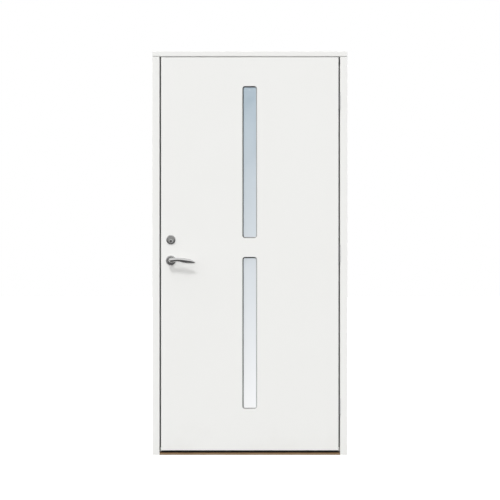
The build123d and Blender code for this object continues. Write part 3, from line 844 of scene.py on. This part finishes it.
class DOOR_OT_strike_lip(bpy.types.Operator):
    """Adds the rolled lip along the front of the strike."""

    bl_idname = "door.strike_lip"
    bl_label = "Add Strike Lip"

    def execute(self, context):
        low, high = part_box("strike_plate")
        reach = context.scene.door_kit.sizes.lip_reach
        roll = ((-0.6, 0), (0.55, 0), (0.82, 0.12), (0.96, 0.35), (1, 0.7), (0.97, 1.1), (0.85, 1.4),
                (0.6, 1.5), (0.38, 1.38), (0.22, 1.15), (0, 1.05), (0, 1.6), (-0.6, 1.6))
        outline = [(high.x + x * reach, low.y + y * reach) for x, y in roll]
        mesh = drawn_out("strike_lip", outline, "Z", low.z + LIP_INSET, high.z - LIP_INSET)
        mesh.materials.append(bpy.data.materials["zinc_plate"])
        kept_piece("strike_lip", mesh, "frame")
        return {"FINISHED"}


class DOOR_OT_levers(bpy.types.Operator):
    """Polishes the levers and their roses."""

    bl_idname = "door.levers"
    bl_label = "Finish Levers"

    def execute(self, context):
        chrome = context.scene.door_kit.colours.chrome
        centre = joint_place("lever", "lever_turn")
        dress(each_face("lever"), polished_metal("polished_lever", chrome))
        dress(each_face("rosette"),
              turned_metal("turned_rose", shade(chrome, 0.95), centre, rough=0.29, depth=0.00002))
        return {"FINISHED"}


class DOOR_OT_screws(bpy.types.Operator):
    """Sets cross-headed screws in the hinge plates, the strike and the lock front."""

    bl_idname = "door.screws"
    bl_label = "Set Screws"

    def execute(self, context):
        sizes = context.scene.door_kit.sizes
        tree = self.screw_tree()
        zinc = bpy.data.materials["zinc_plate"]
        grey = bpy.data.materials["grey_hinge_coat"]
        jamb_face, leaf_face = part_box("hinge_jamb")[0].x + STOP_STEP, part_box("hinge_stile")[1].x
        self.set_screws("frame_hinge_screws", "frame", "dark_steel", tree, sizes, grey,
                        self.hinge_points("hinge_frame_plates", jamb_face, (-1, 0, 0)))
        self.set_screws("leaf_hinge_screws", "leaf", "dark_steel", tree, sizes, grey,
                        self.hinge_points("hinge_leaf_plates", leaf_face, (1, 0, 0)))
        self.set_screws("strike_screws", "frame", "zinc_steel", tree, sizes, zinc, self.strike_points())
        self.set_screws("lock_front_screws", "leaf", "zinc_steel", tree, sizes, zinc, self.forend_points())
        return {"FINISHED"}

    def hinge_points(self, node, x, facing):
        """Four screws in each of the three plates."""
        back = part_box(node)[1].y
        return [((x, back - forward, z + lift), facing)
                for z in hinge_rows(node) for forward, lift in HINGE_SCREWS]

    def strike_points(self):
        """Screws above, between and below the two openings of the strike."""
        low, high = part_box("strike_plate")
        y = middle("latch_bolt").y
        heights = (low.z + STRIKE_SCREW_END, (low.z + high.z) / 2, high.z - STRIKE_SCREW_END)
        return [((high.x, y, z), (1, 0, 0)) for z in heights]

    def forend_points(self):
        """Screws near both ends of the lock front, on its leaning face."""
        low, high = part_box("lock_forend")
        lean = Vector((-LEAF_THICK, LOCK_EDGE_LEAN, 0)).normalized()
        y = middle("latch_bolt").y
        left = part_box("outer_facing")[0].x
        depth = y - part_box("outer_facing")[0].y
        face = left + LOCK_EDGE_LEAN * depth / LEAF_THICK
        return [((face, y, z), lean) for z in (low.z + LOCK_SCREW_END, high.z - LOCK_SCREW_END)]

    def screw_tree(self):
        """A raised countersunk head with a cross recess on every point, turned at random."""
        tree = bpy.data.node_groups.new("cross_head_screws", "GeometryNodeTree")
        face = tree.interface
        face.new_socket("Points", in_out="INPUT", socket_type="NodeSocketGeometry")
        for label, default in (("Radius", SCREW_RADIUS), ("Rise", SCREW_RISE)):
            socket = face.new_socket(label, in_out="INPUT", socket_type="NodeSocketFloat")
            socket.default_value = default
        face.new_socket("Finish", in_out="INPUT", socket_type="NodeSocketMaterial")
        face.new_socket("Screws", in_out="OUTPUT", socket_type="NodeSocketGeometry")
        source, result = tree.nodes.new("NodeGroupInput"), tree.nodes.new("NodeGroupOutput")
        link = tree.links.new
        radius, rise = source.outputs["Radius"], source.outputs["Rise"]

        ball = add(tree, "GeometryNodeMeshUVSphere", {"Segments": 28, "Rings": 16, "Radius": 1.0})
        dome = add(tree, "GeometryNodeTransform")
        link(ball.outputs["Mesh"], dome.inputs["Geometry"])
        link(combined(tree, radius, radius, rise), dome.inputs["Scale"])

        # Bars of the cross, in shares of the head's radius and rise
        long, wide, deep, lift = 1.15, 0.26, 1.6, 1.05
        wings = []
        for across, along in ((long, wide), (wide, long)):
            bar = add(tree, "GeometryNodeMeshCube")
            sides = [math(tree, "MULTIPLY", radius, share) for share in (across, along)]
            link(combined(tree, *sides, math(tree, "MULTIPLY", rise, deep)), bar.inputs["Size"])
            lifted = add(tree, "GeometryNodeTransform")
            link(bar.outputs["Mesh"], lifted.inputs["Geometry"])
            link(combined(tree, 0.0, 0.0, math(tree, "MULTIPLY", rise, lift)), lifted.inputs["Translation"])
            wings.append(lifted.outputs[0])
        cut = add(tree, "GeometryNodeMeshBoolean", operation="DIFFERENCE", solver="EXACT")
        link(dome.outputs[0], cut.inputs["Mesh 1"])
        for wing in wings:
            link(wing, cut.inputs["Mesh 2"])

        aim = add(tree, "FunctionNodeAlignRotationToVector", axis="Z")
        facing = add(tree, "GeometryNodeInputNamedAttribute", {"Name": "facing"}, data_type="FLOAT_VECTOR")
        link(facing.outputs["Attribute"], aim.inputs["Vector"])
        spot = add(tree, "GeometryNodeInstanceOnPoints")
        link(source.outputs["Points"], spot.inputs["Points"])
        link(cut.outputs["Mesh"], spot.inputs["Instance"])
        link(aim.outputs["Rotation"], spot.inputs["Rotation"])
        angle = add(tree, "FunctionNodeRandomValue", {2: 0.0, 3: 3.1, "Seed": 7}, data_type="FLOAT")
        turn = add(tree, "GeometryNodeRotateInstances")
        link(spot.outputs[0], turn.inputs["Instances"])
        link(combined(tree, 0.0, 0.0, angle.outputs[1]), turn.inputs["Rotation"])

        real = add(tree, "GeometryNodeRealizeInstances")
        link(turn.outputs[0], real.inputs[0])
        coat = add(tree, "GeometryNodeSetMaterial")
        link(real.outputs[0], coat.inputs["Geometry"])
        link(source.outputs["Finish"], coat.inputs["Material"])
        link(coat.outputs[0], result.inputs["Screws"])
        return tree

    def set_screws(self, name, body, slot, tree, sizes, finish, points):
        """Runs the tree on points and keeps the plain mesh."""
        seeds = bpy.data.meshes.new(name + "_points")
        seeds.from_pydata([place for place, facing in points], [], [])
        way = seeds.attributes.new("facing", "FLOAT_VECTOR", "POINT")
        way.data.foreach_set("vector", [value for place, facing in points for value in facing])
        carrier = bpy.data.objects.new(name + "_points", seeds)
        bpy.context.scene.collection.objects.link(carrier)
        modifier = carrier.modifiers.new("screws", "NODES")
        modifier.node_group = tree
        inputs = {"Radius": sizes.screw_radius, "Rise": sizes.screw_rise, "Finish": finish}
        for item in tree.interface.items_tree:
            if item.in_out == "INPUT" and item.name in inputs:
                modifier[item.identifier] = inputs[item.name]
        graph = bpy.context.evaluated_depsgraph_get()
        mesh = bpy.data.meshes.new_from_object(carrier.evaluated_get(graph))
        if not mesh.polygons:
            raise RuntimeError(f"{name}: the tree made no screws")
        mesh.name = name
        carrier.modifiers.remove(modifier)
        bpy.data.objects.remove(carrier)
        kept_piece(name, mesh, body)


class DOOR_OT_stage(bpy.types.Operator):
    """Sets up the camera, the light, the floor and the dark cloths."""

    bl_idname = "door.stage"
    bl_label = "Set Stage"

    def execute(self, context):
        stage = context.scene.door_kit.stage
        context.scene.view_settings.view_transform = "Standard"
        self.camera(context.scene, stage)
        self.sky(context.scene, stage)
        self.lamp("key_lamp", stage.key, angle=stage.key_angle, way=(0.11, 1.0, -1.08))
        self.lamp("front_fill", stage.front_fill, angle=0.12, way=(0, 1, -0.07))
        self.lamp("back_fill", stage.back_fill, angle=0.3, way=(0, -1, -0.25))
        self.lamp("side_fill", stage.side_fill, angle=0.1, way=(-1, -0.15, -0.2))
        self.floor()
        self.dark_cloths()
        return {"FINISHED"}

    def camera(self, scene, stage):
        """A long lens, straight on."""
        data = bpy.data.cameras.new("front_view")
        data.sensor_width = SENSOR
        data.lens = SENSOR * stage.view_from / stage.view_width
        data.clip_end = VIEW_END
        camera = bpy.data.objects.new("front_view", data)
        across, up = stage.view_centre
        camera.location = (across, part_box("outer_facing")[0].y - stage.view_from, up)
        camera.rotation_euler = (QUARTER_TURN, 0, 0)
        scene.collection.objects.link(camera)
        scene.camera = camera

    def sky(self, scene, stage):
        """Soft light, fuller above and to the left, that the camera, metal and glass see as plain white."""
        world = bpy.data.worlds.new("white_studio")
        world.use_nodes = True
        tree = world.node_tree
        back = tree.nodes["Background"]
        back.inputs["Color"].default_value = (1, 1, 1, 1)
        way = add(tree, "ShaderNodeTexCoord").outputs["Generated"]
        lean = math(tree, "MULTIPLY", vector_math(tree, "DOT_PRODUCT", way, SKY_SIDE), stage.sky_lean)
        soft = math(tree, "POWER", math(tree, "ADD", lean, 1.0), 2.0)
        level = add(tree, "ShaderNodeMix", {"B": 1.0}, data_type="FLOAT")
        tree.links.new(seen_rays(tree), level.inputs["Factor"])
        tree.links.new(math(tree, "MULTIPLY", soft, stage.sky), level.inputs["A"])
        tree.links.new(level.outputs[0], back.inputs["Strength"])
        scene.world = world

    def lamp(self, name, energy, angle, way):
        """A soft lamp far off that shines one way and doesn't show in metal."""
        data = bpy.data.lights.new(name, "SUN")
        data.energy = energy
        data.angle = angle
        lamp = bpy.data.objects.new(name, data)
        lamp.rotation_euler = Vector(way).to_track_quat("-Z", "Y").to_euler()
        lamp.visible_glossy = False
        bpy.context.scene.collection.objects.link(lamp)

    def board(self, name, corners, material):
        """A flat board of the stage."""
        mesh = bpy.data.meshes.new(name)
        mesh.from_pydata(corners, [], [(0, 1, 2, 3)])
        mesh.materials.append(material)
        board = bpy.data.objects.new(name, mesh)
        bpy.context.scene.collection.objects.link(board)
        return board

    def level_corners(self, z):
        """Corners of a wide level square."""
        return [(-FAR, -FAR, z), (FAR, -FAR, z), (FAR, FAR, z), (-FAR, FAR, z)]

    def floor(self):
        """A pale floor that keeps the door's shadow and throws little light back."""
        material, shader = plain_material("pale_floor", {
            "Roughness": 0.9, "Specular IOR Level": 0.0, "Emission Color": (1, 1, 1, 1)})
        tree = material.node_tree
        seen = seen_rays(tree)
        colour = math(tree, "ADD", math(tree, "MULTIPLY", seen, FLOOR_SEEN), FLOOR_BOUNCE)
        tree.links.new(colour, shader.inputs["Base Color"])
        tree.links.new(math(tree, "MULTIPLY", seen, FLOOR_GLOW), shader.inputs["Emission Strength"])
        self.board("floor", self.level_corners(CAD_BOX[0][2]), material)

    def dark_cloths(self):
        """Dark cloths on the floor and far off before and behind the door, seen only in metal."""
        material, _ = plain_material("dark_cloth", {
            "Base Color": (0.085, 0.085, 0.085, 1), "Roughness": 1.0, "Specular IOR Level": 0.0})
        low = CAD_BOX[0][2] + CLOTH_LIFT
        cloths = {"floor_cloth": self.level_corners(low)}
        for name, y in (("front_cloth", -FAR), ("back_cloth", FAR)):
            cloths[name] = [(-FAR, y, low), (FAR, y, low), (FAR, y, CLOTH_TOP), (-FAR, y, CLOTH_TOP)]
        for name, corners in cloths.items():
            cloth = self.board(name, corners, material)
            cloth.visible_camera = False
            cloth.visible_diffuse = False
            cloth.visible_transmission = False
            cloth.visible_shadow = False


OPERATORS = (
    DOOR_OT_paintwork, DOOR_OT_threshold, DOOR_OT_glazing, DOOR_OT_seals,
    DOOR_OT_lock_metal, DOOR_OT_strike_lip, DOOR_OT_levers, DOOR_OT_screws, DOOR_OT_stage,
)


class DOOR_PT_panel(bpy.types.Panel):
    """Lists the door's settings and steps."""

    bl_idname = "DOOR_PT_panel"
    bl_label = "Exterior Door"
    bl_space_type = "VIEW_3D"
    bl_region_type = "UI"
    bl_category = "Door"

    def draw(self, context):
        kit = context.scene.door_kit
        for group in (kit.colours, kit.sizes, kit.stage):
            box = self.layout.box()
            for key in group.bl_rna.properties.keys():
                if key not in ("rna_type", "name"):
                    box.prop(group, key)
        for step in OPERATORS:
            self.layout.operator(step.bl_idname)


CLASSES = (DoorColours, DoorSizes, DoorStage, DoorKit, *OPERATORS, DOOR_PT_panel)


def register():
    """Adds the classes and the door's settings."""
    for cls in CLASSES:
        bpy.utils.register_class(cls)
    bpy.types.Scene.door_kit = bpy.props.PointerProperty(type=DoorKit)


def unregister():
    """Takes them out again."""
    del bpy.types.Scene.door_kit
    for cls in reversed(CLASSES):
        bpy.utils.unregister_class(cls)


def main():
    """Runs every step."""
    register()
    bpy.ops.door.paintwork()
    bpy.ops.door.threshold()
    bpy.ops.door.glazing()
    bpy.ops.door.seals()
    bpy.ops.door.lock_metal()
    bpy.ops.door.strike_lip()
    bpy.ops.door.levers()
    bpy.ops.door.screws()
    bpy.ops.door.stage()
    bpy.context.view_layer.update()


if __name__ == "__main__":
    main()
